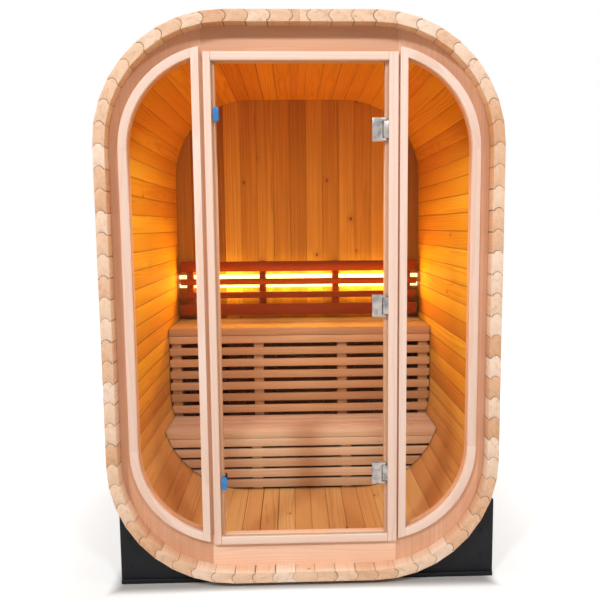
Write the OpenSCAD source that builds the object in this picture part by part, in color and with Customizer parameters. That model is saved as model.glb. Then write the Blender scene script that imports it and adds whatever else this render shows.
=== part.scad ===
// Outdoor sauna with a rounded stave shell, a recessed glazed front and a two-tier bench.
// Millimetres, Z up, front towards -Y, standing on Z = 0.

/* [Shell staves] */
// Width that one stave covers along the wall
stave_cover = 78.7; // [70:0.1:90]
// Thickness of the staves
stave_thick = 42; // [36:1:60]
// Width of the centre stave in the floor and the roof
key_cover = 72; // [60:1:90]
// Staves between the centre stave and a corner
flat_staves = 3; // [2:1:5]
// Staves in one rounded corner
bend_staves = 9; // [6:1:12]
// Staves in the straight part of a side wall
side_staves = 15; // [10:1:18]
// Front to back length of the staves
shell_length = 1750; // [1700:10:2400]
// Radius of the bead on a stave edge
bead_radius = 18; // [16:0.5:19]
// Height of the bead beyond its shoulder
bead_rise = 11; // [7:0.5:13]
// Gap left in a stave joint
joint_gap = 0.4; // [0.3:0.1:0.8]
// Gap between a bead and the cove that it lies in
cove_gap = 1; // [0.4:0.1:1.5]
// Depth of the croze that the end walls are let into
croze_depth = 9; // [5:0.5:14]
// Height of the shell above the ground
shell_lift = 20; // [15:1:60]

/* [Front wall] */
// Distance from the front of the staves to the front wall
wall_setback = 66; // [56:1:140]
// Thickness of the front wall boards
wall_thick = 40; // [28:1:60]
// Half width of the doorway between its trim strips
door_half = 324; // [300:1:350]
// Height of the sill above the shell floor
sill_height = 125; // [100:1:150]
// Height of the front wall above the doorway
header_height = 122; // [85:1:300]
// Width of the stop that the door glass closes on
stop_width = 12; // [8:1:20]
// Width of the trim strips
trim_width = 31; // [24:1:34]
// How far the trim strips stand proud of the boards
trim_raise = 20; // [18:1:30]
// Width of the door trim on the closing side
latch_trim = 27; // [20:1:32]
// Width of the door trim on the hinge side
hinge_trim = 35; // [24:1:38]
// Width of the window trim beside the doorway
mullion_trim = 28; // [24:1:32]
// Gap between the door trim and the window trim
mullion_gap = 7; // [3:1:20]

/* [Windows] */
// Distance from the shell side to a window
window_margin = 67.5; // [50:0.5:120]
// Height of the lowest line of the window arch above the shell floor
window_foot = 131; // [80:1:200]
// Distance from the roof down to the highest line of the window arch
window_head = 98; // [60:1:200]
// Radius of the window corners
window_radius = 340; // [260:5:420]
// Thickness of the window panes
pane_thick = 6; // [4:1:8]
// How far the panes lap behind the window trim
pane_lap = 9; // [6:0.5:12]
// How far the rebate for the panes reaches behind the window trim
rebate_lap = 14; // [13:0.5:18]

/* [Door] */
// Thickness of the door glass
glass_thick = 8; // [6:1:10]
// Gap between the door glass and the trim
glass_gap = 8; // [6:0.5:12]
// Distance from the front wall boards to the door glass
glass_standoff = 8; // [7.5:0.5:10]
// Gap at the head and foot of the door glass
glass_end_gap = 5; // [4:0.5:10]
// Distance from the trim to the hinge pin
pin_inset = 12.5; // [12:0.5:20]
// Distance from the doorway ends to the first and last hinge
hinge_inset = 246; // [150:1:350]
// Height of a hinge
hinge_height = 84; // [82:1:110]
// Length of the hinge plates along the glass
hinge_length = 48; // [40:1:80]
// Thickness of a hinge plate
hinge_plate = 2.8; // [2:0.1:3]
// Diameter of the hinge pins
pin_diameter = 6; // [4:0.5:8]
// Height of the fixed hinge block
block_height = 62; // [20:1:64]
// Gap above and below the fixed hinge block
block_gap = 2; // [1:0.5:3]
// Gap between the fixed hinge block and the clamp beside it
notch_gap = 4.5; // [4.5:0.5:10]
// How far the pin ends lie inside the clamps
pin_recess = 2; // [1:0.5:6]
// Height of the edge clips on the glass
clip_height = 54; // [40:1:80]
// Width of the edge clips on the glass
clip_width = 21; // [18:1:40]
// Thickness of the edge clips
clip_thick = 2.6; // [2:0.1:3]
// Distance from the doorway sill to the lower clip
clip_foot = 215; // [100:1:300]
// Distance from the doorway head to the upper clip
clip_head = 189; // [100:1:300]

/* [Back wall] */
// Distance from the rear end of the staves to the back wall
rear_setback = 80; // [40:1:160]
// Thickness of the back wall boards
back_thick = 42; // [28:1:60]
// Number of boards in the back wall
back_boards = 15; // [9:1:21]
// Chamfer on the board edges
board_chamfer = 3; // [1:0.5:6]
// Reach of the tongues between the boards
tongue_reach = 8; // [5:0.5:12]
// Thickness of the tongues between the boards
tongue_thick = 10; // [6:0.5:14]

/* [Benches] */
// Depth of the upper bench from the back wall
upper_depth = 428; // [350:1:600]
// Height of the upper seat above the shell floor
upper_height = 784; // [740:1:840]
// Depth of the lower bench from the upper bench
lower_depth = 305; // [200:1:450]
// Height of the lower seat above the shell floor
lower_height = 308; // [300:1:330]
// Thickness of the seat boards
seat_thick = 28; // [20:1:40]
// Boards in the upper seat
upper_boards = 5; // [3:1:7]
// Boards in the lower seat
lower_boards = 4; // [2:1:6]
// Gap between seat boards
seat_gap = 7; // [4:0.5:15]
// Height of the slats in the bench fronts
slat_height = 40; // [30:1:42]
// Thickness of the slats
slat_thick = 18; // [14:1:28]
// Slats below the nosing of the upper bench
upper_slats = 7; // [4:1:7]
// Gap between the upper bench front and the lower seat
upper_foot = 16; // [5:1:60]
// Slats below the nosing of the lower bench
lower_slats = 5; // [3:1:5]
// Gap between the lower bench front and the shell floor
lower_foot = 14; // [5:1:60]
// Gap between the nosing and the first slat
nosing_gap = 2; // [1:0.5:6]
// Gap between the bench ends and the shell
bench_gap = 4; // [2:0.5:12]
// Width of the bench posts
post_width = 50; // [35:1:60]
// Depth of the bench posts and height of the bearers
post_depth = 45; // [30:1:60]
// Distance from the centre to the inner posts
post_inner = 225; // [180:1:300]
// Gap between the outer posts and the shell side
post_gap = 12.5; // [5:0.5:100]

/* [Backrest] */
// Height of the backrest foot above the upper seat
rest_foot = 28; // [5:1:60]
// Heights of the rails from the lowest to the highest
rail_heights = [65, 36, 36, 58]; // [20:1:90]
// Height of the lowest gap between the rails
rail_gap_low = 34; // [20:1:60]
// Height of the two lit gaps between the rails
rail_gap_lit = 41; // [30:1:60]
// Thickness of the rails
rail_thick = 20; // [14:1:30]
// Gap between the rail ends and the shell side
rail_gap_end = 20; // [10:0.5:80]
// Depth of the supports behind the rails
support_depth = 58; // [40:1:90]
// Width of the supports
support_width = 38; // [25:1:60]
// Distance from the rail ends to the outer supports
support_inset = 33; // [5:1:60]
// Distance from the centre to the inner supports
support_inner = 212; // [180:1:300]
// Height of the light strips
strip_height = 22; // [12:1:30]
// Thickness of the light strips
strip_thick = 12; // [6:1:20]
// How far the light strips tuck behind the rail between them
strip_tuck = 4; // [1:0.5:9]

/* [Cradle] */
// Distance from the shell side to the cradle side
cradle_inset = 14; // [5:0.5:60]
// How far the cradle stands off the middle of the shell
cradle_offset = 13; // [0:1:20]
// Distance from the centre to the inner end of a saddle
cradle_inner = 350; // [330:1:450]
// Height of the cradle
cradle_height = 313; // [250:1:380]
// Distance from the end of the staves to a saddle
saddle_setback = 60; // [10:1:120]
// Thickness of the saddles
saddle_thick = 30; // [20:1:60]
// Thickness of the cradle sides
cradle_side = 18; // [12:1:30]
// Height of the base rails
base_height = 18; // [12:1:30]
// How far the base rails stand proud of the saddles
base_proud = 6; // [2:1:15]

/* [Fits] */
// Clearance between fitted pieces
fit_gap = 0.3; // [0.2:0.05:0.6]
// Clearance around a hinge pin
pin_gap = 0.1; // [0.05:0.01:0.3]

/* [Hidden] */
$fn = 96;
far = 4000;

// Staves of one half shell, counted from the floor centre up to the roof centre
turn = 90 / bend_staves;
corner_low = flat_staves;
side_low = corner_low + bend_staves;
corner_high = side_low + side_staves;
roof_low = corner_high + bend_staves;
half_staves = roof_low + flat_staves;
bead_back = bead_radius - bead_rise;

function heading(k) =
  k < corner_low ? 0 :
  k < side_low ? (k - corner_low + 0.5) * turn :
  k < corner_high ? 90 :
  k < roof_low ? 90 + (k - corner_high + 0.5) * turn : 180;
function heading_before(k) = k == 0 ? 0 : heading(k - 1);
function turn_at(k) = heading(k) - heading_before(k);
function toward(angle) = [cos(angle), sin(angle)];

joints = [
  for (k = 0, p = [key_cover / 2, shell_lift + stave_thick / 2];
    k <= half_staves;
    p = p + stave_cover * toward(heading(k)), k = k + 1) p
];
roof_line = joints[half_staves][1];
shell_half = joints[side_low][0] + stave_thick / 2;
inner_half = shell_half - stave_thick;
floor_top = shell_lift + stave_thick;
roof_under = roof_line - stave_thick / 2;

// Corner points of the shell line, moved inwards by d
function shell_points(d) = [
  for (k = [0:half_staves])
    if (turn_at(k) > 0)
      joints[k] + d / cos(turn_at(k) / 2) * toward((heading_before(k) + heading(k)) / 2 + 90)
];
function mirrored(points) = [for (i = [len(points) - 1:-1:0]) [-points[i][0], points[i][1]]];
function shell_outline(d) = concat(shell_points(d), mirrored(shell_points(d)));

// Front wall levels
front = -shell_length / 2;
wall_y = front + wall_setback;
trim_y = wall_y - trim_raise;
sill_top = floor_top + sill_height;
door_top = roof_under - header_height;
door_height = door_top - sill_top;
panel_joint = door_half + hinge_trim;
window_start = panel_joint + mullion_gap + mullion_trim;
window_reach = inner_half - window_margin;
window_low = floor_top + window_foot;
window_high = roof_under - window_head;
window_rise = window_high - window_low;

// Door levels
glass_y = wall_y - glass_standoff - glass_thick;
glass_half = door_half - glass_gap;
pin_x = door_half - pin_inset;
pin_y = glass_y + glass_thick / 2;
clamp_half = glass_thick / 2 + fit_gap + hinge_plate;
hinge_levels = [sill_top + hinge_inset, sill_top + door_height / 2, door_top - hinge_inset];
clip_levels = [sill_top + clip_foot, door_top - clip_head];
notch_depth = clamp_half - fit_gap + notch_gap;
notch_height = block_height + 2 * block_gap;
notch_x = pin_x - notch_depth;

// Bench levels
back_y = -front - rear_setback - back_thick;
upper_y = back_y - upper_depth;
lower_y = upper_y - lower_depth;
upper_top = floor_top + upper_height;
lower_top = floor_top + lower_height;
upper_pitch = (upper_height - lower_height - upper_foot - nosing_gap - 2 * slat_height) / (upper_slats - 1);
lower_pitch = (lower_height - lower_foot - nosing_gap - 2 * slat_height) / (lower_slats - 1);
post_outer = inner_half - post_gap - post_width / 2;
rest_low = upper_top + rest_foot;
rail_low = [
  rest_low,
  rest_low + rail_heights[0] + rail_gap_low,
  rest_low + rail_heights[0] + rail_heights[1] + rail_gap_low + rail_gap_lit,
  rest_low + rail_heights[0] + rail_heights[1] + rail_heights[2] + rail_gap_low + 2 * rail_gap_lit
];
rail_half = inner_half - rail_gap_end;
support_outer = rail_half - support_inset - support_width / 2;

// Cradle levels
cradle_half = shell_half - cradle_inset;

// Extrudes an outline drawn in X and Z from y, towards the back
module along_depth(y, length)
  translate([0, y + length, 0])
    rotate([90, 0, 0])
      linear_extrude(height = length)
        children();

module cabin_inside(clear)
  polygon(shell_outline(stave_thick / 2 + clear));

// Outline of an end wall, grown into the croze
module wall_outline(clear)
  cabin_inside(clear - croze_depth);

// Cuts the croze for both end walls
module with_crozes()
  difference() {
    children();
    along_depth(wall_y - fit_gap, wall_thick + 2 * fit_gap)
      wall_outline(0);
    along_depth(back_y - fit_gap, back_thick + 2 * fit_gap)
      wall_outline(0);
  }

module mirror_copy() {
  children();
  mirror([1, 0, 0])
    children();
}

// Cove and bead staves
module stave_section(turn_in, turn_out) {
  half = stave_thick / 2;
  cut_in = half * tan(turn_in / 2);
  cut_out = half * tan(turn_out / 2);
  shoulder = stave_cover - joint_gap;
  difference() {
    union() {
      polygon([[-cut_in, -half], [shoulder + cut_out, -half], [shoulder - cut_out, half], [cut_in, half]]);
      translate([stave_cover - bead_back, 0])
        circle(r = bead_radius);
    }
    translate([-bead_back * cos(turn_in), bead_back * sin(turn_in)])
      circle(r = bead_radius + cove_gap);
  }
}

module staves(first, last)
  for (k = [first:last])
    with_crozes()
      along_depth(front, shell_length)
        translate(joints[k])
          rotate(heading(k))
            stave_section(turn_at(k), turn_at(k + 1));

module floor_key()
  with_crozes()
    along_depth(front, shell_length)
      translate([0, shell_lift + stave_thick / 2])
        union() {
          square([key_cover - 2 * joint_gap, stave_thick], center = true);
          for (side = [-1, 1])
            translate([side * (key_cover / 2 - bead_back), 0])
              circle(r = bead_radius);
        }

module roof_key_half()
  with_crozes()
    along_depth(front, shell_length)
      translate([0, roof_line])
        difference() {
          translate([joint_gap / 2, -stave_thick / 2])
            square([key_cover / 2 - joint_gap / 2, stave_thick]);
          translate([key_cover / 2 + bead_back, 0])
            circle(r = bead_radius + cove_gap);
        }

module floor_staves()
  color("#d8a878") {
    floor_key();
    mirror_copy()
      staves(0, corner_low - 1);
  }

module lower_right_corner_staves()
  color("#e0b48a")
    staves(corner_low, side_low - 1);

module lower_left_corner_staves()
  color("#e0b48a")
    mirror([1, 0, 0])
      staves(corner_low, side_low - 1);

module right_wall_staves()
  color("#e6bd96")
    staves(side_low, corner_high - 1);

module left_wall_staves()
  color("#e6bd96")
    mirror([1, 0, 0])
      staves(side_low, corner_high - 1);

module upper_right_corner_staves()
  color("#e0b48a")
    staves(corner_high, roof_low - 1);

module upper_left_corner_staves()
  color("#e0b48a")
    mirror([1, 0, 0])
      staves(corner_high, roof_low - 1);

module roof_staves()
  color("#d8a878")
    mirror_copy() {
      roof_key_half();
      staves(roof_low, half_staves - 1);
    }

// Window shape on the right, grown by g on every side but the doorway side
module window_shape(g, start)
  intersection() {
    union() {
      translate([-window_reach - g, window_low + window_radius])
        square([2 * (window_reach + g), window_rise - 2 * window_radius]);
      translate([-window_reach + window_radius, window_low - g])
        square([2 * (window_reach - window_radius), window_rise + 2 * g]);
      for (z = [window_low + window_radius, window_high - window_radius])
        translate([window_reach - window_radius, z])
          circle(r = window_radius + g);
    }
    translate([start, 0])
      square([far, far]);
  }

// Front wall boards
module header_board()
  color("#e8c4a8")
    along_depth(wall_y, wall_thick)
      intersection() {
        wall_outline(fit_gap);
        translate([-panel_joint, door_top])
          square([2 * panel_joint, far]);
      }

module sill_board()
  color("#e8c4a8")
    along_depth(wall_y, wall_thick)
      intersection() {
        wall_outline(fit_gap);
        translate([-panel_joint, 0])
          square([2 * panel_joint, sill_top]);
      }

module front_panel()
  difference() {
    along_depth(wall_y, wall_thick)
      difference() {
        union() {
          intersection() {
            wall_outline(fit_gap);
            translate([panel_joint, 0])
              square([far, far]);
          }
          translate([door_half - stop_width, sill_top])
            square([panel_joint - door_half + stop_width, door_height]);
        }
        window_shape(0, window_start);
      }
    along_depth(wall_y - 1, pane_thick + 2 * fit_gap + 1)
      window_shape(rebate_lap, window_start - rebate_lap);
  }

module right_front_panel()
  color("#e8c4a8")
    front_panel();

module left_front_panel()
  color("#e8c4a8")
    mirror([1, 0, 0])
      front_panel();

// Raised trim strips
module trim_strip(x, z, width, height)
  along_depth(trim_y, trim_raise)
    translate([x, z])
      square([width, height]);

module door_trim()
  color("#f2d4bc") {
    foot = sill_top - trim_width;
    stile = door_height + 2 * trim_width;
    trim_strip(-door_half - latch_trim, foot, latch_trim, stile);
    trim_strip(door_half, foot, hinge_trim, stile);
    trim_strip(-door_half + fit_gap, foot, 2 * (door_half - fit_gap), trim_width);
    trim_strip(-door_half + fit_gap, door_top, 2 * (door_half - fit_gap), trim_width);
  }

// Piece of the window trim inside a rectangle
module trim_band(x, z, width, height)
  along_depth(trim_y, trim_raise)
    intersection() {
      difference() {
        window_shape(trim_width, window_start - mullion_trim);
        window_shape(0, window_start);
      }
      translate([x, z])
        square([width, height]);
    }

module window_trim() {
  bend_low = window_low + window_radius;
  bend_high = window_high - window_radius;
  bend_x = window_start + fit_gap;
  trim_band(window_start - mullion_trim, 0, mullion_trim, far);
  trim_band(bend_x, 0, far, bend_low - fit_gap);
  trim_band(bend_x, bend_low, far, bend_high - bend_low);
  trim_band(bend_x, bend_high + fit_gap, far, far);
}

module right_window_trim()
  color("#f2d4bc")
    window_trim();

module left_window_trim()
  color("#f2d4bc")
    mirror([1, 0, 0])
      window_trim();

// Glass
module window_glass()
  along_depth(wall_y + fit_gap, pane_thick)
    window_shape(pane_lap, window_start - pane_lap);

module right_window_glass()
  color("#cfe6e4", 0.35)
    window_glass();

module left_window_glass()
  color("#cfe6e4", 0.35)
    mirror([1, 0, 0])
      window_glass();

module door_glass()
  color("#cfe6e4", 0.35)
    along_depth(glass_y, glass_thick)
      difference() {
        translate([-glass_half, sill_top + glass_end_gap])
          square([2 * glass_half, door_height - 2 * glass_end_gap]);
        for (z = hinge_levels)
          translate([notch_x, z - hinge_height / 2 - fit_gap])
            square([far, hinge_height + 2 * fit_gap]);
      }

// Glass clamp hinges
module hinge_clamps()
  color("#b8bcc0")
    for (z = hinge_levels)
      translate([pin_x, pin_y, z - hinge_height / 2])
        difference() {
          linear_extrude(height = hinge_height)
            difference() {
              union() {
                translate([-hinge_length, -clamp_half])
                  square([hinge_length, 2 * clamp_half]);
                circle(r = clamp_half);
              }
              translate([-hinge_length - 1, -glass_thick / 2 - fit_gap])
                square([hinge_length + 1 - notch_depth + fit_gap, glass_thick + 2 * fit_gap]);
              circle(d = pin_diameter + 2 * pin_gap);
            }
          translate([-notch_depth, -far / 2, (hinge_height - notch_height) / 2])
            cube([far, far, notch_height]);
        }

module hinge_brackets()
  color("#a9adb1")
    for (z = hinge_levels)
      translate([pin_x, pin_y, z])
        union() {
          translate([0, 0, -block_height / 2])
            linear_extrude(height = block_height)
              union() {
                circle(r = clamp_half - fit_gap);
                translate([0, -clamp_half + fit_gap])
                  square([pin_inset, 2 * (clamp_half - fit_gap)]);
              }
          cylinder(d = pin_diameter, h = hinge_height - 2 * pin_recess, center = true);
        }

// Edge clips on the closing side of the glass
module door_clips()
  color("#2f7fb5")
    for (z = clip_levels)
      translate([-glass_half, pin_y, z])
        difference() {
          intersection() {
            translate([-clip_thick, -glass_thick / 2 - clip_thick, -clip_height / 2])
              cube([clip_width, glass_thick + 2 * clip_thick, clip_height]);
            translate([clip_width / 2 - clip_thick, 0, 0])
              rotate([90, 0, 0])
                linear_extrude(height = far, center = true)
                  union() {
                    square([clip_width, clip_height - clip_width], center = true);
                    for (end = [-1, 1])
                      translate([0, end * (clip_height - clip_width) / 2])
                        circle(d = clip_width);
                  }
          }
          translate([-fit_gap, -glass_thick / 2 - fit_gap, -far / 2])
            cube([far, glass_thick + 2 * fit_gap, far]);
        }

// Tongue and groove board with chamfered edges
module board_section(cover) {
  edge = cover - joint_gap;
  tongue = (back_thick - tongue_thick) / 2;
  difference() {
    union() {
      polygon([
        [board_chamfer, 0],
        [edge - board_chamfer, 0],
        [edge, board_chamfer],
        [edge, back_thick],
        [0, back_thick],
        [0, board_chamfer]
      ]);
      translate([edge, tongue])
        square([tongue_reach, tongue_thick]);
    }
    translate([0, tongue - joint_gap])
      square([tongue_reach, tongue_thick + 2 * joint_gap]);
  }
}

// Upright boards of the back wall
module back_wall_boards()
  color("#c98a4e") {
    wall_half = inner_half + croze_depth - fit_gap;
    cover = 2 * wall_half / back_boards;
    for (i = [0:back_boards - 1])
      intersection() {
        along_depth(back_y, back_thick)
          wall_outline(fit_gap);
        translate([-wall_half + i * cover, back_y, 0])
          linear_extrude(height = far)
            board_section(cover);
      }
  }

// A board across the cabin, its ends cut to the shell
module cross_board(y, depth, z, height)
  intersection() {
    along_depth(y, depth)
      cabin_inside(bench_gap);
    translate([-far / 2, y, z])
      cube([far, depth, height]);
  }

module bench_seat(y, depth, top, count) {
  width = (depth - (count - 1) * seat_gap) / count;
  for (i = [0:count - 1])
    cross_board(y + i * (width + seat_gap), width, top - seat_thick, seat_thick);
}

module bench_front(y, top, count, pitch) {
  cross_board(y, slat_thick, top - slat_height, slat_height);
  for (i = [0:count - 1])
    cross_board(y, slat_thick, top - nosing_gap - 2 * slat_height - i * pitch, slat_height);
}

// An upright post on the shell floor and the bearer that it carries
module bench_post(x, y, top, reach)
  intersection() {
    along_depth(y, reach)
      cabin_inside(fit_gap);
    translate([x - post_width / 2, y, 0])
      union() {
        cube([post_width, post_depth, top]);
        translate([0, 0, top - post_depth])
          cube([post_width, reach, post_depth]);
      }
  }

module upper_bench_seat()
  color("#b9774a")
    bench_seat(upper_y + slat_thick, back_y - upper_y - slat_thick - fit_gap, upper_top, upper_boards);

module upper_bench_front()
  color("#b9774a")
    bench_front(upper_y, upper_top, upper_slats, upper_pitch);

module upper_bench_frame()
  color("#a5673d")
    for (x = [-post_outer, -post_inner, post_inner, post_outer])
      bench_post(x, upper_y + slat_thick, upper_top - seat_thick, back_y - upper_y - slat_thick);

module lower_bench_seat()
  color("#b9774a")
    bench_seat(lower_y + slat_thick, upper_y - lower_y - slat_thick, lower_top, lower_boards);

module lower_bench_front()
  color("#b9774a")
    bench_front(lower_y, lower_top, lower_slats, lower_pitch);

module lower_bench_frame()
  color("#a5673d")
    for (x = [-post_inner, post_inner])
      bench_post(x, lower_y + slat_thick, lower_top - seat_thick, upper_y - lower_y);

// Backrest with lit gaps
module backrest_rails()
  color("#a5673d")
    for (i = [0:3])
      translate([-rail_half, back_y - support_depth - rail_thick, rail_low[i]])
        cube([2 * rail_half, rail_thick, rail_heights[i]]);

module backrest_supports()
  color("#8f5732")
    for (x = [-support_outer, -support_inner, support_inner, support_outer])
      translate([x - support_width / 2, back_y - support_depth, rest_low])
        cube([support_width, support_depth, rail_low[3] + rail_heights[3] - rest_low]);

// Light strip between two supports, given by their middles
module light_strip(start, end, z)
  translate([start + support_width / 2, back_y - strip_thick, z])
    cube([end - start - support_width, strip_thick, strip_height]);

module light_strips()
  color("#ffd98a")
    for (z = [rail_low[2] + strip_tuck - strip_height, rail_low[2] + rail_heights[2] - strip_tuck]) {
      light_strip(-support_inner, support_inner, z);
      mirror_copy() {
        light_strip(support_inner, support_outer, z);
        light_strip(support_outer, inner_half - bench_gap + support_width / 2, z);
      }
    }

// Cradle under the rounded corners, side is 1 on the right and -1 on the left
module cradle_block(side, width)
  difference() {
    translate([cradle_offset + side * (cradle_half - width / 2), (cradle_height + base_height) / 2])
      square([width, cradle_height - base_height], center = true);
    polygon(shell_outline(-stave_thick / 2 - fit_gap));
  }

module saddles(side)
  for (y = [front + saddle_setback, -front - saddle_setback - saddle_thick])
    along_depth(y, saddle_thick)
      cradle_block(side, cradle_half - cradle_inner);

module right_saddles()
  color("#26272a")
    saddles(1);

module left_saddles()
  color("#26272a")
    saddles(-1);

module cradle_board(side)
  along_depth(front + saddle_setback + saddle_thick, shell_length - 2 * (saddle_setback + saddle_thick))
    cradle_block(side, cradle_side);

module right_cradle_side()
  color("#26272a")
    cradle_board(1);

module left_cradle_side()
  color("#26272a")
    cradle_board(-1);

module base_rails()
  color("#1d1e20") {
    rail_y = front + saddle_setback - base_proud;
    rail_depth = saddle_thick + 2 * base_proud;
    for (side = [-1, 1], y = [rail_y, -rail_y - rail_depth])
      translate([cradle_offset + side * (cradle_inner + cradle_half) / 2, y + rail_depth / 2, base_height / 2])
        cube([cradle_half - cradle_inner, rail_depth, base_height], center = true);
  }

floor_staves();
lower_left_corner_staves();
lower_right_corner_staves();
left_wall_staves();
right_wall_staves();
upper_left_corner_staves();
upper_right_corner_staves();
roof_staves();
header_board();
sill_board();
left_front_panel();
right_front_panel();
door_trim();
left_window_trim();
right_window_trim();
left_window_glass();
right_window_glass();
door_glass();
hinge_clamps();
hinge_brackets();
door_clips();
back_wall_boards();
upper_bench_seat();
upper_bench_front();
upper_bench_frame();
lower_bench_seat();
lower_bench_front();
lower_bench_frame();
backrest_rails();
backrest_supports();
light_strips();
left_saddles();
right_saddles();
left_cradle_side();
right_cradle_side();
base_rails();
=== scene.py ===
import math
import random

import bpy
import numpy as np
from mathutils import Matrix, Vector


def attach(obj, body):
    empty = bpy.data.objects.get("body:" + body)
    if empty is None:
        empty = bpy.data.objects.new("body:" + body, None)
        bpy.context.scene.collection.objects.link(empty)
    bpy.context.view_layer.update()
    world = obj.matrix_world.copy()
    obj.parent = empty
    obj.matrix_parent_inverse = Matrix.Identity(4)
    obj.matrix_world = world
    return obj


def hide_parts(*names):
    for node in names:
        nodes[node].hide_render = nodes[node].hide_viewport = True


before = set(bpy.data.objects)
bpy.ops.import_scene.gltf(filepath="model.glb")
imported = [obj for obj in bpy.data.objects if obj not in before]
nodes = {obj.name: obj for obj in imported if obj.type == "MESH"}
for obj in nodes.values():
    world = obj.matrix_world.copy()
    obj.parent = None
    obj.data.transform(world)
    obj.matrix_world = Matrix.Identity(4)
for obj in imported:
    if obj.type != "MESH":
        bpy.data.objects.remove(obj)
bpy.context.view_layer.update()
scene = bpy.context.scene
scene.view_settings.view_transform = "Standard"
print("frame loaded,", len(nodes), "nodes")


def addObject(name, data):
    made = bpy.data.objects.new(name, data)
    scene.collection.objects.link(made)
    return made


# camera where the photograph was taken, with its angles in radians
cameraLook = {
    "focalPixels": 732.864, "framePixels": 600, "sensor": 36, "place": (-0.03244, -3.56514, 1.38584),
    "yaw": 0.03374, "pitch": 0.11829, "roll": -0.00778, "shift": (-0.0308, 0.0216)}


def makeCamera(look):
    yaw, pitch, roll = look["yaw"], look["pitch"], look["roll"]
    ahead = Vector((math.sin(yaw) * math.cos(pitch), math.cos(yaw) * math.cos(pitch), -math.sin(pitch)))
    right = Vector((math.cos(yaw), -math.sin(yaw), 0))
    up = right.cross(ahead)
    turnedRight = right * math.cos(roll) + up * math.sin(roll)
    turnedUp = up * math.cos(roll) - right * math.sin(roll)
    lens = bpy.data.cameras.new("photoCamera")
    lens.sensor_width = look["sensor"]
    lens.lens = look["focalPixels"] / look["framePixels"] * look["sensor"]
    lens.shift_x, lens.shift_y = look["shift"]
    camera = addObject("photoCamera", lens)
    turn = Matrix((turnedRight, turnedUp, -ahead)).transposed().to_4x4()
    camera.matrix_world = Matrix.Translation(look["place"]) @ turn
    scene.camera = camera


makeCamera(cameraLook)
print("camera placed")


# shader maths: a wire is a socket, and an expression on wires adds the nodes
class Wire:
    def __init__(self, tree, socket=None):
        self.tree = tree
        self.socket = socket

    def node(self, kind, settings, sockets, out=0):
        made = self.tree.nodes.new("ShaderNode" + kind)
        for name, value in settings.items():
            if name == "stops":
                ramp = made.color_ramp.elements
                ramp[0].position, ramp[0].color = value[0]
                ramp[1].position, ramp[1].color = value[-1]
                for place, colour in value[1:-1]:
                    ramp.new(place).color = colour
            else:
                setattr(made, name, value)
        for key, value in sockets.items():
            if isinstance(value, Wire):
                self.tree.links.new(value.socket, made.inputs[key])
            else:
                made.inputs[key].default_value = value
        return Wire(self.tree, made.outputs[out] if made.outputs else None)

    def other(self, out):
        return Wire(self.tree, self.socket.node.outputs[out])

    def maths(self, operation, *values):
        return self.node("Math", {"operation": operation}, dict(enumerate(values)))

    def __add__(self, value):
        return self.maths("ADD", self, value)

    def __radd__(self, value):
        return self.maths("ADD", value, self)

    def __sub__(self, value):
        return self.maths("SUBTRACT", self, value)

    def __rsub__(self, value):
        return self.maths("SUBTRACT", value, self)

    def __mul__(self, value):
        return self.maths("MULTIPLY", self, value)

    def __rmul__(self, value):
        return self.maths("MULTIPLY", value, self)

    def __truediv__(self, value):
        return self.maths("DIVIDE", self, value)

    def __gt__(self, value):
        return self.maths("GREATER_THAN", self, value)

    def __lt__(self, value):
        return self.maths("LESS_THAN", self, value)

    def __abs__(self):
        return self.maths("ABSOLUTE", self)

    def __pow__(self, value):
        return self.maths("POWER", self, value)


def paint(red, green, blue):  # a colour as it is seen, 0 to 255
    shares = [c / 255 for c in (red, green, blue)]
    return (*[c / 12.92 if c <= 0.04045 else ((c + 0.055) / 1.055) ** 2.4 for c in shares], 1)


def tonesOf(*stops):  # a place from 0 to 1 and its colour, for each stop
    return [(place, paint(*colour)) for place, *colour in stops]


def newMaterial(name):
    material = bpy.data.materials.new(name)
    material.use_nodes = True
    material.node_tree.nodes.clear()
    return material, Wire(material.node_tree)


def blendColour(wire, factor, first, second, how="MIX"):
    return wire.node("Mix", {"data_type": "RGBA", "blend_type": how}, {0: factor, 6: first, 7: second}, 2)


def smoothStep(wire, value, low, high):
    settings = {"interpolation_type": "SMOOTHSTEP"}
    return wire.node("MapRange", settings, {0: value, 1: low, 2: high, 3: 0.0, 4: 1.0})


def vectorOf(wire, x, y, z):
    return wire.node("CombineXYZ", {}, {0: x, 1: y, 2: z})


def partsOf(wire, vector):
    x = wire.node("SeparateXYZ", {}, {0: vector})
    return x, x.other(1), x.other(2)


def spotOf(wire):  # where a point is on the object; other(1) is the way it faces
    return wire.node("TexCoord", {}, {}, 3)


def noiseAt(wire, place, detail=2.0, rough=0.5):  # about -0.5 to 0.5
    sockets = {"Vector": place, "Scale": 1.0, "Detail": detail, "Roughness": rough}
    return wire.node("TexNoise", {}, sockets) - 0.5


def scaledNoise(wire, place, scales, detail=2.0):
    return noiseAt(wire, vectorOf(wire, *[axis * scale for axis, scale in zip(place, scales)]), detail)


def bumpOf(wire, height, strength, distance):
    return wire.node("Bump", {}, {"Strength": strength, "Distance": distance, "Height": height})


def closeMaterial(wire, sockets):
    wire.node("OutputMaterial", {}, {"Surface": wire.node("BsdfPrincipled", {}, sockets)})


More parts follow.
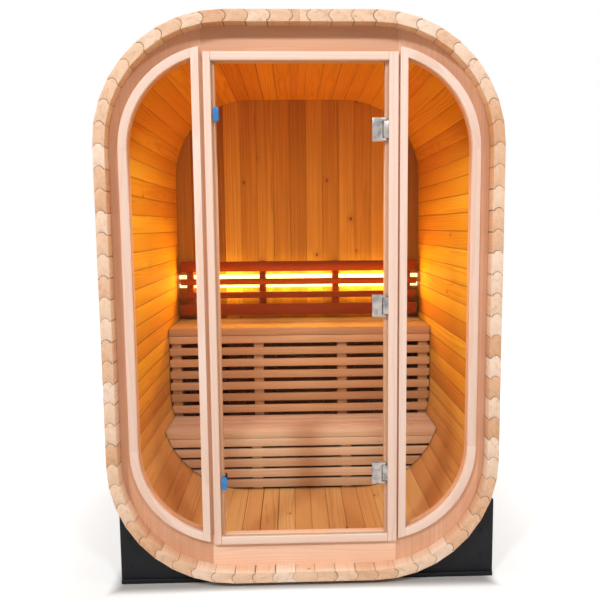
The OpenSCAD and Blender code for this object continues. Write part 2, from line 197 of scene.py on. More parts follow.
# wood: every board carries its own place across, along and through the grain, and its own tone
woodBase = {
    "diceSpread": 71.0, "boardShift": 37.0, "rough": 0.52, "shine": 0.35, "relief": 0.35, "reliefDepth": 0.0012,
    "ring": 0.0075, "ringDepth": 0.30, "lateRise": (0.35, 0.92), "lateFall": (0.93, 1.0),
    "heartSide": 0.17, "heartNear": 0.035, "heartFar": 0.10, "bendScale": (9.0, 1.6), "bendDepth": 0.022,
    "streakScale": (95.0, 1.1), "streakDepth": 0.34, "patchScale": (14.0, 3.0), "patchDepth": 0.25,
    "fibreScale": (700.0, 14.0), "fibreEdge": (0.02, 0.30), "fibreDepth": 0.16,
    "knotCells": (8.0, 6.0), "knotShare": 0.10, "knotSize": 0.0075, "knotLeast": 0.45, "knotRim": (0.55, 1.15),
    "knotHalo": 4.5, "knotBend": 0.012, "knotShade": 0.30, "knotDepth": 0.85,
    "knotColour": paint(112, 62, 30), "lateColour": paint(196, 140, 96)}

# a stave's section, measured from its middle, and what shows of it
staveShape = {
    "innerFrom": 0.008, "seamFrom": 0.012, "seam": (0.0358, 0.0374), "halfStave": 0.06,
    "beadPlace": 0.0324, "beadRadius": 0.018, "beadFrom": 0.036, "beadLine": 0.0006,
    "tips": ((0.0935, 0.047), (0.05, 0.0504), (0.0, 0.030)),  # bead tip of a centre, plain and half stave, by width
    "paintedOverhangShadeLevels": (0.5, 1.8), "paintedGlowLevels": (0.12, 0.75), "lineEdge": (-0.02, 0.30),
    "wornScale": (42.0, 60.0), "wornEdge": (-0.05, 0.30)}

insideDepth = (-0.80, 0.765)  # between the front and back walls
benchShadeZones = ((0.345, 0.816), (0.040, 0.340))  # where painted shade goes: behind each bench front and under its seat
endFacing = 0.6  # a face turned further than this to the front or back is an end


def woodMaterial(name, look):
    look = {**woodBase, **look}
    material, wire = newMaterial(name)
    tone = wire.node("Attribute", {"attribute_name": "tone"}, {}, 2)
    across, along, through = partsOf(wire, wire.node("Attribute", {"attribute_name": "board"}, {}, 1))
    dice = wire.node("TexWhiteNoise", {"noise_dimensions": "1D"}, {"W": tone * look["diceSpread"]}, 1)
    diceA, diceB, diceC = partsOf(wire, dice)
    shift = tone * look["boardShift"]

    def grain(kind, shifted, detail=2.0, rough=0.5):  # noise drawn out along the board
        wide, long = look[kind]
        sides = zip((across * wide, along * long, through * wide), shifted)
        return noiseAt(wire, vectorOf(wire, *[side + shift if moved else side for side, moved in sides]), detail, rough)

    # knots pull the grain round them
    cellsAcross, cellsAlong = look["knotCells"]
    cellPlace = vectorOf(wire, across * cellsAcross + shift, along * cellsAlong + shift, 0.0)
    cell = wire.node("TexVoronoi", {"voronoi_dimensions": "2D"}, {"Vector": cellPlace, "Scale": 1.0})
    cellDice = wire.node("SeparateColor", {}, {0: cell.other(1)})
    hasKnot = cellDice < look["knotShare"]
    knotReach = cell / ((cellsAcross + cellsAlong) / 2)
    knotWidth = look["knotSize"] * (look["knotLeast"] + cellDice.other(1))
    knotInner, knotOuter = [knotWidth * share for share in look["knotRim"]]
    knot = hasKnot * (1.0 - smoothStep(wire, knotReach, knotInner, knotOuter))
    knotPull = hasKnot * (1.0 - smoothStep(wire, knotReach, 0.0, knotWidth * look["knotHalo"]))
    # growth rings round a heart that lies off the board
    bend = grain("bendScale", (True, False, True))
    sideways = across - (diceA - 0.5) * look["heartSide"]
    inwards = through - look["heartNear"] - diceB * look["heartFar"]
    reach = (sideways * sideways + inwards * inwards) ** 0.5 + bend * look["bendDepth"] + knotPull * look["knotBend"]
    ring = wire.maths("FRACT", reach / (look["ring"] * (0.75 + diceC * 0.5)))
    late = smoothStep(wire, ring, *look["lateRise"]) * (1.0 - smoothStep(wire, ring, *look["lateFall"]))
    streak = grain("streakScale", (True, True, False), 3.0, 0.6)
    fibre = grain("fibreScale", (False, True, False))
    patch = grain("patchScale", (True, False, True))

    def timber(tones, lateColour):  # boards with their rings and fibres
        shade = tone + patch * look["patchDepth"] + streak * look["streakDepth"]
        base = wire.node("ValToRGB", {"stops": tones}, {0: shade})
        base = blendColour(wire, late * look["ringDepth"] * (0.6 + diceC * 0.6), base, lateColour)
        base = blendColour(wire, smoothStep(wire, fibre, *look["fibreEdge"]) * look["fibreDepth"], base, lateColour)
        return blendColour(wire, knotPull * look["knotShade"], base, lateColour)

    spot = spotOf(wire)
    depth, level = partsOf(wire, spot)[1:]
    base = timber(look["tones"], look["lateColour"])
    if "outerTones" in look:  # a wall in plain timber on its outer side, its inner side tinted orange for painted glow
        outer = timber(look["outerTones"], look["outerLate"])
        base = blendColour(wire, depth > insideDepth[1], base, outer)
    base = blendColour(wire, knot * look["knotDepth"], base, look["knotColour"])
    indoors = (depth > insideDepth[0]) * (depth < insideDepth[1])
    if "jointColour" in look:
        indoors = indoors * (through > staveShape["innerFrom"])
    if "paintedBenchShade" in look:  # painted shade: darker behind the bench fronts and under their seats
        benchShadeMask = wire.maths("MAXIMUM", *[(depth > y) * (level < z) for y, z in benchShadeZones])
        base = blendColour(wire, benchShadeMask * indoors, base, look["paintedBenchShade"], "MULTIPLY")
    if "jointColour" in look:  # staves: painted glow inside, painted shade on the overhang's inner faces, worn ends and dark joints
        facing = abs(partsOf(wire, spot.other(1))[1])
        atEnd, atSide = facing > endFacing, facing < endFacing
        # painted shade: the overhang's inner faces at front and back are darkened and warmed, more so higher up
        rim = (through > staveShape["innerFrom"]) * atSide * (1.0 - indoors)
        rim = rim * smoothStep(wire, level, *staveShape["paintedOverhangShadeLevels"])
        base = blendColour(wire, rim, base, look["paintedOverhangShade"], "MULTIPLY")
        # painted light: the inside of the shell is tinted orange for the strips' glow, paler low down and deeper higher
        # up
        paintedGlowRise = smoothStep(wire, level, *staveShape["paintedGlowLevels"])
        tint = blendColour(wire, paintedGlowRise, look["paintedGlowLower"], look["paintedGlowUpper"])
        base = blendColour(wire, indoors, base, tint, "MULTIPLY")
        lines = late * 0.25 + smoothStep(wire, streak, *staveShape["lineEdge"]) * 0.5
        base = blendColour(wire, indoors * lines, base, look["insideLate"], "MULTIPLY")
        wornAcross, wornThrough = staveShape["wornScale"]
        worn = noiseAt(wire, vectorOf(wire, across * wornAcross + shift, through * wornThrough + shift, 0.0))
        worn = atEnd * smoothStep(wire, worn, *staveShape["wornEdge"]) * (0.1 + diceB * 0.5)
        base = blendColour(wire, worn, base, look["endColour"])
        fromBead = across - staveShape["beadPlace"]
        line = abs((fromBead * fromBead + through * through) ** 0.5 - staveShape["beadRadius"])
        bead = 1.0 - smoothStep(wire, line, staveShape["beadLine"], look["jointWidth"] * (0.5 + diceB))
        bead = bead * (across > staveShape["beadFrom"]) * atEnd
        seam = smoothStep(wire, abs(across), *staveShape["seam"]) * (through > staveShape["seamFrom"]) * atSide
        base = blendColour(wire, bead * (0.40 + diceA * 0.60), base, look["jointColour"])
        base = blendColour(wire, seam * (0.28 + diceC * 0.45), base, look["jointColour"])
    height = fibre * 0.5 + late * 0.25 + streak * 0.35 - knot * 0.4
    closeMaterial(wire, {
        "Specular IOR Level": look["shine"], "Base Color": base,
        "Roughness": look["rough"] + streak * 0.16 + late * 0.08 - knot * 0.10,
        "Normal": bumpOf(wire, height, look["relief"], look["reliefDepth"])})
    return material


woodLooks = {
    "shellWood": {
        "slot": "shell_wood", "tones": tonesOf(
            (0.0, 218, 174, 138), (0.3, 234, 198, 168), (0.65, 241, 213, 188), (1.0, 247, 227, 210)),
        "lateColour": paint(208, 154, 112), "ringDepth": 0.22, "streakDepth": 0.45, "knotShare": 0.12,
        # the next two colours are painted glow inside the shell, the upper one and the lower one
        "paintedGlowUpper": (0.84, 0.54, 0.035, 1), "paintedGlowLower": (0.79, 0.61, 0.29, 1),
        # the next line holds painted shade colours, one for the overhang's inner faces and one for behind the benches
        "insideLate": (0.70, 0.55, 0.40, 1), "paintedOverhangShade": (1.0, 0.86, 0.66, 1), "paintedBenchShade": (0.50, 0.27, 0.20, 1),
        "endColour": paint(190, 140, 100), "jointColour": paint(84, 48, 26), "jointWidth": 0.0022},
    "frontWood": {
        "slot": "front_wood", "tones": tonesOf((0.0, 214, 166, 136), (0.4, 234, 192, 165), (1.0, 244, 208, 184)),
        "lateColour": paint(214, 160, 128), "knotShare": 0.0, "ringDepth": 0.36, "streakDepth": 0.5},
    "trimWood": {
        "slot": "trim_wood", "tones": tonesOf((0.0, 239, 213, 199), (0.5, 243, 220, 208), (1.0, 246, 226, 215)),
        "lateColour": paint(231, 186, 160), "knotShare": 0.0, "ringDepth": 0.36, "streakDepth": 0.6, "relief": 0.2},
    # the back wall's inner tones are orange for the strips' painted glow; its outer tones are plain timber
    "backWood": {
        "slot": "back_wood", "tones": tonesOf((0.0, 146, 92, 28), (0.5, 190, 130, 42), (1.0, 228, 172, 66)),
        "lateColour": paint(146, 88, 26), "knotShare": 0.14, "streakDepth": 0.75, "paintedBenchShade": (0.50, 0.27, 0.20, 1),
        "outerTones": tonesOf((0.0, 218, 174, 138), (0.5, 236, 202, 173), (1.0, 246, 222, 200)),
        "outerLate": paint(208, 154, 112)},
    # one bench timber in lit and shaded copies: upper fronts and frames darker for painted shade, upper seat yellower
    # for the strips' painted glow, lower bench paler for painted daylight
    "benchWood": {
        "slot": "bench_wood", "tones": tonesOf((0.0, 178, 134, 95), (0.5, 190, 146, 105), (1.0, 202, 158, 118)),
        "lateColour": paint(164, 114, 76), "knotShare": 0.0},
    "seatWoodPaintedLight": {
        "slot": "bench_wood", "tones": tonesOf((0.0, 178, 147, 87), (0.5, 189, 159, 97), (1.0, 200, 171, 110)),
        "lateColour": paint(178, 122, 66), "knotShare": 0.0},
    "lowBenchWoodPaintedLight": {
        "slot": "bench_wood", "tones": tonesOf((0.0, 201, 174, 144), (0.5, 213, 186, 156), (1.0, 223, 197, 169)),
        "lateColour": paint(188, 144, 112), "knotShare": 0.0},
    "lowSeatWoodPaintedLight": {
        "slot": "bench_wood", "tones": tonesOf((0.0, 201, 170, 141), (0.5, 211, 181, 152), (1.0, 220, 192, 165)),
        "lateColour": paint(192, 138, 108), "knotShare": 0.0},
    # painted light: the rails' deep orange-brown stands for the strips' glow and the shade on their fronts
    "railWoodPaintedGlow": {
        "slot": "bench_wood", "tones": tonesOf((0.0, 124, 48, 7), (0.5, 137, 57, 9), (1.0, 150, 67, 13)),
        "lateColour": paint(104, 38, 6), "knotShare": 0.0},
}

woods = {name: woodMaterial(name, look) for name, look in woodLooks.items()}
print("wood mixed")


def steelMaterial():
    # painted reflection: the warm tint and the darker cloudy patches stand for the surroundings seen in the steel
    look = {
        "colour": paint(174, 166, 159), "shade": paint(110, 111, 117), "shadeEdge": (-0.15, 0.35), "rough": 0.34,
        "brush": (30.0, 900.0, 900.0), "cloud": (40.0, 40.0, 40.0), "relief": 0.08, "reliefDepth": 0.0004}
    material, wire = newMaterial("satinSteel")
    place = partsOf(wire, spotOf(wire))
    brush = scaledNoise(wire, place, look["brush"], 3.0)
    cloud = scaledNoise(wire, place, look["cloud"])
    shaded = smoothStep(wire, brush * 0.4 + cloud, *look["shadeEdge"])
    closeMaterial(wire, {
        "Metallic": 1.0, "Base Color": blendColour(wire, shaded, look["colour"], look["shade"]),
        "Roughness": look["rough"] + brush * 0.12 + cloud * 0.1,
        "Normal": bumpOf(wire, brush, look["relief"], look["reliefDepth"])})
    return material


def clipMaterial():
    look = {
        "colour": paint(52, 138, 208), "shade": paint(28, 96, 158), "shadeEdge": (-0.25, 0.35), "rough": 0.34,
        "grain": (900.0, 900.0, 900.0), "cloud": (70.0, 70.0, 45.0), "relief": 0.1, "reliefDepth": 0.0003}
    material, wire = newMaterial("bluePlastic")
    place = partsOf(wire, spotOf(wire))
    grain = scaledNoise(wire, place, look["grain"])
    shaded = smoothStep(wire, scaledNoise(wire, place, look["cloud"]), *look["shadeEdge"])
    closeMaterial(wire, {
        "Specular IOR Level": 0.5, "Base Color": blendColour(wire, shaded, look["colour"], look["shade"]),
        "Roughness": look["rough"] + grain * 0.12,
        "Normal": bumpOf(wire, grain, look["relief"], look["reliefDepth"])})
    return material


def blackMaterial():
    look = {
        "colour": paint(23, 24, 28), "shade": paint(15, 16, 20), "shadeEdge": (-0.3, 0.35), "rough": 0.55,
        "dust": paint(40, 41, 46), "dustEdge": (0.20, 0.32), "dustDepth": 0.35, "peel": (420.0, 420.0, 420.0),
        "cloud": (7.0, 7.0, 7.0), "speck": (150.0, 150.0, 150.0), "relief": 0.18, "reliefDepth": 0.0006}
    material, wire = newMaterial("mattBlack")
    place = partsOf(wire, spotOf(wire))
    peel = scaledNoise(wire, place, look["peel"])
    cloud = scaledNoise(wire, place, look["cloud"], 3.0)
    speck = scaledNoise(wire, place, look["speck"], 1.0)
    base = blendColour(wire, smoothStep(wire, cloud, *look["shadeEdge"]), look["colour"], look["shade"])
    dusty = smoothStep(wire, speck, *look["dustEdge"]) * look["dustDepth"]
    closeMaterial(wire, {
        "Specular IOR Level": 0.25, "Base Color": blendColour(wire, dusty, base, look["dust"]),
        "Roughness": look["rough"] + cloud * 0.16 + peel * 0.08,
        "Normal": bumpOf(wire, peel, look["relief"], look["reliefDepth"])})
    return material


def glassMaterial():
    look = {
        "tint": (0.972, 0.984, 0.978, 1), "film": paint(232, 240, 238), "edge": paint(126, 178, 160),
        "edgeShare": 0.7, "edgeRough": 0.12, "bending": 1.45, "shine": 0.08, "rough": 0.02, "cloud": (3.0, 3.0, 3.0)}
    material, wire = newMaterial("clearGlass")
    spot = spotOf(wire)
    cloud = scaledNoise(wire, partsOf(wire, spot), look["cloud"], 3.0)
    atEdge = abs(partsOf(wire, spot.other(1))[1]) < endFacing
    shine = wire.node("Fresnel", {}, {"IOR": look["bending"]}) * (look["shine"] + cloud * 0.03)
    clear = wire.node("BsdfTransparent", {}, {0: look["tint"]})
    gloss = wire.node("BsdfPrincipled", {}, {
        "Base Color": blendColour(wire, atEdge, look["film"], look["edge"]), "Metallic": 1.0 - atEdge,
        "Roughness": look["rough"] + smoothStep(wire, cloud, 0.0, 0.5) * 0.03 + atEdge * look["edgeRough"]})
    solid = wire.maths("MAXIMUM", shine, atEdge * look["edgeShare"])
    wire.node("OutputMaterial", {}, {"Surface": wire.node("MixShader", {}, {0: solid, 1: clear, 2: gloss})})
    return material


def lampMaterial():
    look = {
        "warm": (1.0, 0.72, 0.22, 1), "hot": (1.0, 0.90, 0.52, 1), "pitch": 0.0167, "beadEdge": (0.05, 0.45),
        "strength": 1.6, "case": (paint(255, 240, 205), paint(250, 225, 170)), "rough": 0.45,
        "cloud": (60.0, 60.0, 60.0)}
    material, wire = newMaterial("warmLight")
    place = partsOf(wire, spotOf(wire))
    bead = abs(wire.maths("FRACT", place[0] / look["pitch"]) - 0.5)
    closeMaterial(wire, {
        "Emission Strength": look["strength"], "Base Color": blendColour(wire, bead, *look["case"]),
        "Roughness": look["rough"] + scaledNoise(wire, place, look["cloud"]) * 0.1,
        "Emission Color": blendColour(wire, smoothStep(wire, bead, *look["beadEdge"]), look["hot"], look["warm"])})
    return material


satinSteel = steelMaterial()
bluePlastic = clipMaterial()
mattBlack = blackMaterial()
clearGlass = glassMaterial()
warmLight = lampMaterial()
print("metal, plastic, glass and light mixed")

# how meshes are cleaned, eased and smoothed
meshCare = {
    "mergeReach": 0.00001, "flatAngle": math.radians(0.4), "easeAngle": math.radians(40),
    "smoothAngle": math.radians(35), "flatFacing": 0.9}


def selectOnly(piece):
    if bpy.context.object and bpy.context.object.mode != "OBJECT":
        bpy.ops.object.mode_set(mode="OBJECT")
    bpy.ops.object.select_all(action="DESELECT")
    piece.select_set(True)
    bpy.context.view_layer.objects.active = piece


def smoothFaces():
    bpy.ops.object.shade_smooth_by_angle(angle=meshCare["smoothAngle"])


def copyNode(nodeName, pieceName):  # a merged copy of a CAD node's mesh
    piece = addObject(pieceName, nodes[nodeName].data.copy())
    selectOnly(piece)
    bpy.ops.mesh.customdata_custom_splitnormals_clear()
    bpy.ops.object.mode_set(mode="EDIT")
    bpy.ops.mesh.select_all(action="SELECT")
    bpy.ops.mesh.remove_doubles(threshold=meshCare["mergeReach"])
    bpy.ops.mesh.dissolve_limited(angle_limit=meshCare["flatAngle"])
    bpy.ops.object.mode_set(mode="OBJECT")
    return piece


def easeEdges(piece, width, steps):
    selectOnly(piece)
    ease = piece.modifiers.new("ease", "BEVEL")
    ease.width, ease.segments = width, steps
    ease.limit_method, ease.angle_limit = "ANGLE", meshCare["easeAngle"]
    ease.use_clamp_overlap = True
    bpy.ops.object.modifier_apply(modifier="ease")
    smoothFaces()


def wear(piece, material, body):  # finish and body of a piece
    piece.data.materials.clear()
    piece.data.materials.append(material)
    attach(piece, body)


def boardsOf(mesh):  # the points of each loose board
    parent = list(range(len(mesh.vertices)))

    def root(i):
        while parent[i] != i:
            parent[i] = parent[parent[i]]
            i = parent[i]
        return i

    for edge in mesh.edges:
        a, b = root(edge.vertices[0]), root(edge.vertices[1])
        if a != b:
            parent[a] = b
    groups = {}
    for i in range(len(parent)):
        groups.setdefault(root(i), []).append(i)
    return list(groups.values())


shellMiddle = 1.0828  # height of the shell's centre line
archCentre = {"x": 0.295, "low": 0.533, "high": 1.6655, "radius": 0.3555, "leastSize": 0.1}


def staveGrain(points, middle, size):
    flat = points[:, [0, 2]] - middle[[0, 2]]
    tangent = np.array((1.0, 0.0))  # half staves lie flat in the roof
    if max(size[0], size[2]) > staveShape["halfStave"]:
        tangent = np.linalg.eigh(flat.T @ flat)[1][:, 1]
    uphill = np.array([-(middle[2] - shellMiddle), middle[0]]) * (1 if middle[0] > 0 else -1)
    tangent = tangent if tangent @ uphill > 0 else -tangent
    inward = np.array([-tangent[1], tangent[0]])
    inward = inward if inward @ np.array([-middle[0], shellMiddle - middle[2]]) > 0 else -inward
    across, through = flat @ tangent, flat @ inward
    width = across.max() - across.min()
    tip = next(tip for least, tip in staveShape["tips"] if width > least)
    return np.stack([across - across.max() + tip, points[:, 1], through - (through.max() + through.min()) / 2], 1)


def archGrain(points, middle):
    centreZ = archCentre["low"] if middle[2] < shellMiddle else archCentre["high"]
    side = 1 if middle[0] > 0 else -1
    dx, dz = points[:, 0] - archCentre["x"] * side, points[:, 2] - centreZ
    turn = np.arctan2(dz, dx * side)
    return np.stack([np.hypot(dx, dz) - archCentre["radius"], turn * archCentre["radius"], points[:, 1]], 1)


def grainPlace(points, layout):  # across, along and through the grain of one board
    middle = (points.min(0) + points.max(0)) / 2
    size = points.max(0) - points.min(0)
    if layout == "stave":
        return staveGrain(points, middle, size)
    if layout == "arch" and min(size[0], size[2]) > archCentre["leastSize"]:
        return archGrain(points, middle)
    order = np.argsort(size)  # the longest way is along the grain
    return (points - middle)[:, order[[1, 2, 0]]]


def markBoards(piece, layout, seed, low, high):
    mesh = piece.data
    points = np.array([v.co for v in mesh.vertices])
    place = np.zeros_like(points)
    tones = np.zeros(len(points))
    boards = sorted(boardsOf(mesh), key=lambda group: tuple(round(float(c), 3) for c in points[group].mean(0)))
    dice = random.Random(seed)
    for group in boards:
        place[group] = grainPlace(points[group], layout)
        tones[group] = low + (high - low) * dice.random()
    board = mesh.attributes.new("board", "FLOAT_VECTOR", "POINT")
    board.data.foreach_set("vector", place.astype(np.float32).ravel())
    tone = mesh.attributes.new("tone", "FLOAT", "POINT")
    tone.data.foreach_set("value", tones.astype(np.float32))


# every wooden node gets eased edges and boards with their own grain
stave = {"wood": "shellWood", "layout": "stave", "ease": 0.0011, "steps": 2}
board = {"wood": "frontWood", "layout": "plank", "ease": 0.001, "steps": 2}
trim = {"wood": "trimWood", "layout": "arch", "ease": 0.003, "steps": 3, "tones": (0.3, 0.6)}
seat = {"layout": "plank", "ease": 0.003, "steps": 3}
slat = {"layout": "plank", "ease": 0.002, "steps": 2}
woodPieces = {
    "floor_staves": {**stave, "seed": 11},
    "lower_left_corner_staves": {**stave, "seed": 12},
    "lower_right_corner_staves": {**stave, "seed": 13},
    "left_wall_staves": {**stave, "seed": 14},
    "right_wall_staves": {**stave, "seed": 15},
    "upper_left_corner_staves": {**stave, "seed": 16},
    "upper_right_corner_staves": {**stave, "seed": 17},
    "roof_staves": {**stave, "seed": 18},
    # the header and side panels take the darkest tones: painted shade under the overhang and in the recesses beside the
    # shell
    "header_board": {**board, "seed": 21, "tones": (0.02, 0.10)},
    "sill_board": {**board, "seed": 22, "tones": (0.8, 0.95)},
    "left_front_panel": {**board, "seed": 23, "tones": (0.0, 0.05)},
    "right_front_panel": {**board, "seed": 24, "tones": (0.12, 0.2)},
    "door_trim": {**trim, "layout": "plank", "seed": 31, "tones": (0.1, 0.5)},
    "left_window_trim": {**trim, "seed": 32},
    "right_window_trim": {**trim, "seed": 33},
    "back_wall_boards": {**board, "wood": "backWood", "seed": 41},
    "upper_bench_seat": {**seat, "wood": "seatWoodPaintedLight", "seed": 51},
    "upper_bench_front": {**slat, "wood": "benchWood", "seed": 52},
    "upper_bench_frame": {**slat, "wood": "benchWood", "seed": 53},
    "lower_bench_seat": {**seat, "wood": "lowSeatWoodPaintedLight", "seed": 54, "tones": (0.3, 1.0)},
    "lower_bench_front": {**slat, "wood": "lowBenchWoodPaintedLight", "seed": 55},
    "lower_bench_frame": {**slat, "wood": "lowBenchWoodPaintedLight", "seed": 56},
    "backrest_rails": {**slat, "wood": "railWoodPaintedGlow", "seed": 61},
    "backrest_supports": {**slat, "wood": "railWoodPaintedGlow", "seed": 62},
}

for nodeName, look in woodPieces.items():
    piece = copyNode(nodeName, nodeName + ".wood")
    easeEdges(piece, look["ease"], look["steps"])
    markBoards(piece, look["layout"], look["seed"], *look.get("tones", (0.0, 1.0)))
    wear(piece, woods[look["wood"]], "cabin")
    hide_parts(nodeName)
print("wooden pieces dressed")

# metal, plastic and glass
hinge = {"finish": satinSteel, "slot": "hinge_metal", "steps": 2}
cradle = {"finish": mattBlack, "slot": "cradle_black", "body": "cabin", "ease": 0.0015, "steps": 2}
hardPieces = {
    "hinge_clamps": {**hinge, "body": "door", "ease": 0.0018},
    "hinge_brackets": {**hinge, "body": "cabin", "ease": 0.0009},
    "door_clips": {"finish": bluePlastic, "slot": "clip_plastic", "body": "door", "ease": 0.0011, "steps": 3},
    "left_saddles": cradle,
    "right_saddles": cradle,
    "left_cradle_side": cradle,
    "right_cradle_side": cradle,
    "base_rails": {**cradle, "ease": 0.002, "steps": 3},
}

for nodeName, look in hardPieces.items():
    piece = copyNode(nodeName, nodeName + ".smooth")
    easeEdges(piece, look["ease"], look["steps"])
    wear(piece, look["finish"], look["body"])
    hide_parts(nodeName)

clearNodes = {
    "left_window_glass": clearGlass, "right_window_glass": clearGlass, "door_glass": clearGlass,
    "light_strips": warmLight}
for nodeName, finish in clearNodes.items():
    for place in nodes[nodeName].material_slots:
        place.material = finish
print("metal, plastic and glass dressed")


def startShape(add, **settings):  # a primitive with its scale and turn taken into the mesh
    bpy.ops.object.select_all(action="DESELECT")
    scale = settings.pop("scale", (1, 1, 1))
    add(**settings)
    shape = bpy.context.object
    shape.scale = scale
    bpy.ops.object.transform_apply(location=True, rotation=True, scale=True)
    return shape


def pickFaces(piece, test):  # edit mode with the faces that pass a test selected
    selectOnly(piece)
    bpy.ops.object.mode_set(mode="EDIT")
    bpy.ops.mesh.select_mode(type="FACE")
    bpy.ops.mesh.select_all(action="DESELECT")
    bpy.ops.object.mode_set(mode="OBJECT")
    for face in piece.data.polygons:
        face.select = test(face)
    bpy.ops.object.mode_set(mode="EDIT")


def endShape():
    bpy.ops.object.mode_set(mode="OBJECT")
    smoothFaces()


def placeCopy(pattern, name, move, material):  # a copy of a pattern on the cabin
    mesh = pattern.data.copy()
    mesh.transform(move)
    wear(addObject(name, mesh), material, "cabin")


# knuckles round the hinge pins, modelled once and copied
knuckleLook = {
    "axis": (0.3115, -0.821), "levels": (0.4330, 1.0842, 1.7355), "sides": 48,
    "reach": 0.0106, "depth": 0.0062, "height": 0.058, "ease": 0.0011}


def makeKnuckle(look):
    knuckle = startShape(
        bpy.ops.mesh.primitive_cylinder_add, vertices=look["sides"], radius=1, depth=1,
        scale=(look["reach"], look["depth"], look["height"]))
    pickFaces(knuckle, lambda face: abs(face.normal.z) > meshCare["flatFacing"])
    bpy.ops.mesh.inset(thickness=look["ease"], depth=look["ease"])
    endShape()
    return knuckle


knuckle = makeKnuckle(knuckleLook)
for number, level in enumerate(knuckleLook["levels"]):
    move = Matrix.Translation((*knuckleLook["axis"], level))
    placeCopy(knuckle, "hingeKnuckle.%d" % number, move, satinSteel)
bpy.data.objects.remove(knuckle)
print("knuckles set")

# screws that hold the saddles, modelled once on the front face and copied
screwLook = {
    "radius": 0.0062, "rise": 0.0024, "sides": 24, "rim": 0.0014, "dome": 0.0008,
    "socket": 0.0022, "lip": 0.0003, "sink": 0.0022, "face": 0.815,
    "places": ((-0.679, 0.181), (-0.679, 0.0705), (0.697, 0.188), (0.697, 0.084))}


def makeScrew(look):
    screw = startShape(
        bpy.ops.mesh.primitive_cylinder_add, vertices=look["sides"], radius=look["radius"], depth=look["rise"],
        rotation=(math.radians(90), 0, 0))
    pickFaces(screw, lambda face: face.normal.y < -meshCare["flatFacing"])
    bpy.ops.mesh.inset(thickness=look["rim"], depth=look["dome"])
    bpy.ops.mesh.inset(thickness=look["radius"] - look["rim"] - look["socket"])
    bpy.ops.mesh.inset(thickness=look["lip"], depth=-look["sink"])
    endShape()
    return screw


screw = makeScrew(screwLook)
out = screwLook["face"] + screwLook["rise"] / 2
for turn in (0, 180):
    for number, (x, z) in enumerate(screwLook["places"]):
        move = Matrix.Translation((x, out if turn else -out, z)) @ Matrix.Rotation(math.radians(turn), 4, "Z")
        placeCopy(screw, "saddleScrew.%d.%d" % (turn, number), move, mattBlack)
bpy.data.objects.remove(screw)
print("screws set")

# dark hook on top of the lower clip
hookLook = {
    "place": (-0.3005, -0.821, 0.4275), "size": (0.0095, 0.008, 0.007), "neck": (0.0012, 0, 0.007),
    "taper": 0.62, "tip": (-0.003, 0, 0.005), "ease": 0.0011, "steps": 3}


def makeHook(look):
    hook = startShape(bpy.ops.mesh.primitive_cube_add, size=1, location=look["place"], scale=look["size"])
    hook.name = "clipHook"
    pickFaces(hook, lambda face: face.normal.z > meshCare["flatFacing"])
    bpy.ops.mesh.extrude_region_move(TRANSFORM_OT_translate={"value": look["neck"]})
    bpy.ops.transform.resize(value=(look["taper"], look["taper"], 1))
    bpy.ops.mesh.extrude_region_move(TRANSFORM_OT_translate={"value": look["tip"]})
    bpy.ops.mesh.select_all(action="SELECT")
    bpy.ops.mesh.bevel(offset=look["ease"], segments=look["steps"], affect="EDGES")
    endShape()
    wear(hook, mattBlack, "door")


makeHook(hookLook)
print("hook set")

# lamps round the object: two high ones ahead, softer ones beside and below, and one behind
frontAim = (0, -0.85, 1.1)
glossLevel = 4  # lamps above this level show in the gloss
lampLooks = {
    "highLeft": {
        "place": (-3.0, -6.6, 6.0), "aim": frontAim, "size": 1.0, "power": 282.0, "colour": (1, 1, 1)},
    "highRight": {
        "place": (2.6, -6.8, 6.0), "aim": frontAim, "size": 1.0, "power": 192.0, "colour": (1, 1, 1)},
    "leftLamp": {
        "place": (-6.4, -2.6, 3.4), "aim": frontAim, "size": 1.5, "power": 150.0, "colour": (1, 0.90, 0.80)},
    "rightLamp": {
        "place": (6.4, -2.8, 3.0), "aim": frontAim, "size": 1.5, "power": 120.0, "colour": (1, 0.80, 0.62)},
    "lowLamp": {
        "place": (0.0, -6.0, 0.3), "aim": (0, -0.85, 1.4), "size": 1.2, "power": 66.0, "colour": (1, 0.80, 0.62)},
    "backLamp": {
        "place": (2.2, 6.8, 4.6), "aim": (0, 0.8, 1.1), "size": 2.0, "power": 230.0, "colour": (1, 0.96, 0.92)},
}


def areaLight(name, look, size, move):  # a disc, or a rectangle where the size has two sides
    light = bpy.data.lights.new(name, "AREA")
    light.shape, light.size = ("DISK", "RECTANGLE")[len(size) - 1], size[0]
    light.size_y = size[-1]
    light.energy, light.color = look["power"], look["colour"]
    lamp = addObject(name, light)
    lamp.matrix_world = move
    return lamp


def aimed(look):
    ahead = Vector(look["aim"]) - Vector(look["place"])
    return Matrix.Translation(look["place"]) @ ahead.to_track_quat("-Z", "Y").to_matrix().to_4x4()


def hideLamp(lamp):
    lamp.visible_camera = lamp.visible_glossy = lamp.visible_transmission = False


for name, look in lampLooks.items():
    lamp = areaLight(name, look, (look["size"],), aimed(look))
    lamp.visible_glossy = look["place"][2] > glossLevel

# glow of the strips: into the room through the rails, up past them, back on the wall and along the seat
glowLook = {"levels": (1.030, 1.107), "length": 1.24, "height": 0.02}
glowWays = {
    "room": {"colour": (1.0, 0.50, 0.004), "power": 4.2, "depth": 0.700, "turn": -106},
    "open": {"colour": (1.0, 0.48, 0.002), "power": 3.5, "depth": 0.662, "turn": -122},
    "wall": {"colour": (1.0, 0.76, 0.12), "power": 1.8, "depth": 0.705, "turn": 90},
    "seat": {"colour": (1.0, 0.85, 0.02), "power": 0.26, "depth": 0.700, "turn": -90, "levels": (0.860,)},
}
for way, look in glowWays.items():
    for level in look.get("levels", glowLook["levels"]):
        turn = Matrix.Rotation(math.radians(look["turn"]), 4, "X")
        move = Matrix.Translation((0, look["depth"], level)) @ turn
        hideLamp(areaLight(way + "Glow", look, (glowLook["length"], glowLook["height"]), move))

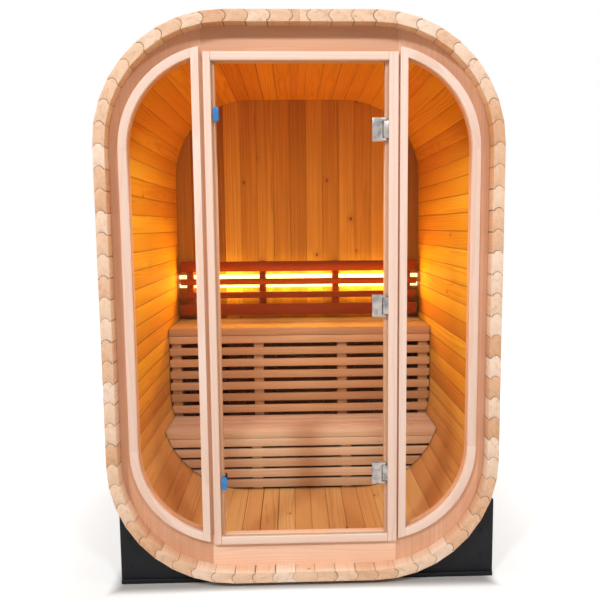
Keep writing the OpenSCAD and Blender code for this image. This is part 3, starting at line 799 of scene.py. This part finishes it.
# the light that falls in through the glazed front
dayLook = {
    "place": (0.0, -0.50, 1.75), "aim": (0.0, 0.00, 0.20), "size": (0.7, 0.4), "power": 8.0, "colour": (1, 1, 1)}
hideLamp(areaLight("daylight", dayLook, dayLook["size"], aimed(dayLook)))

# studio: a white room and a white floor, with the object's shadow on it, deepened by painted shade where the floor's
# glow is lowered round the shell's plan
studioLook = {
    "around": (0.06, 0.047, 0.037), "white": (1, 1, 1, 1), "floorHalf": 14.0, "floorColour": 0.50, "floorBounce": 0.35,
    "plan": (0.70, 0.85), "paintedShadeGlowUnder": 0.0, "paintedShadeGlowNear": 0.62, "paintedShadeReach": 0.07, "farReach": 0.9}


def seenDirectly(wire):  # by the camera, in a gloss or through glass
    path = wire.node("LightPath", {}, {})
    camera, glossy, through = [path.other("Is %s Ray" % kind) for kind in ("Camera", "Glossy", "Transmission")]
    return wire.maths("MAXIMUM", camera, wire.maths("MAXIMUM", glossy, through))


def makeRoom(look):
    world = bpy.data.worlds.new("studio")
    scene.world = world
    world.use_nodes = True
    world.node_tree.nodes.clear()
    wire = Wire(world.node_tree)
    colour = blendColour(wire, seenDirectly(wire), (*look["around"], 1), look["white"])
    wire.node("OutputWorld", {}, {"Surface": wire.node("Background", {}, {"Color": colour})})


def makeFloor(look):
    bpy.ops.object.select_all(action="DESELECT")
    bpy.ops.mesh.primitive_plane_add(size=2 * look["floorHalf"], location=(0, 0, 0))
    floor = bpy.context.object
    floor.name = "studioFloor"
    material, wire = newMaterial("studioFloor")
    seen = seenDirectly(wire)
    x, y = partsOf(wire, spotOf(wire))[:2]
    away = wire.maths("MAXIMUM", abs(x) - look["plan"][0], abs(y) - look["plan"][1])  # from the shell's plan
    # painted shade: the floor's glow is nothing under the shell's plan and rises over a short reach, so a dark band
    # lies at the base whatever the lamps do
    paintedShadeFade = smoothStep(wire, away, 0.0, look["paintedShadeReach"]) * (look["paintedShadeGlowNear"] - look["paintedShadeGlowUnder"])
    far = smoothStep(wire, away, look["paintedShadeReach"], look["farReach"]) * (1 - look["paintedShadeGlowNear"])
    pale = look["floorBounce"] + seen * (look["floorColour"] - look["floorBounce"])
    grey = wire.node("CombineColor", {}, {0: pale, 1: pale, 2: pale})
    matt = wire.node("BsdfDiffuse", {}, {"Color": grey})
    strength = seen * (look["paintedShadeGlowUnder"] + paintedShadeFade + far)
    white = wire.node("Emission", {}, {"Color": look["white"], "Strength": strength})
    wire.node("OutputMaterial", {}, {"Surface": wire.node("AddShader", {}, {0: matt, 1: white})})
    floor.data.materials.append(material)


makeRoom(studioLook)
makeFloor(studioLook)
print("studio lit")
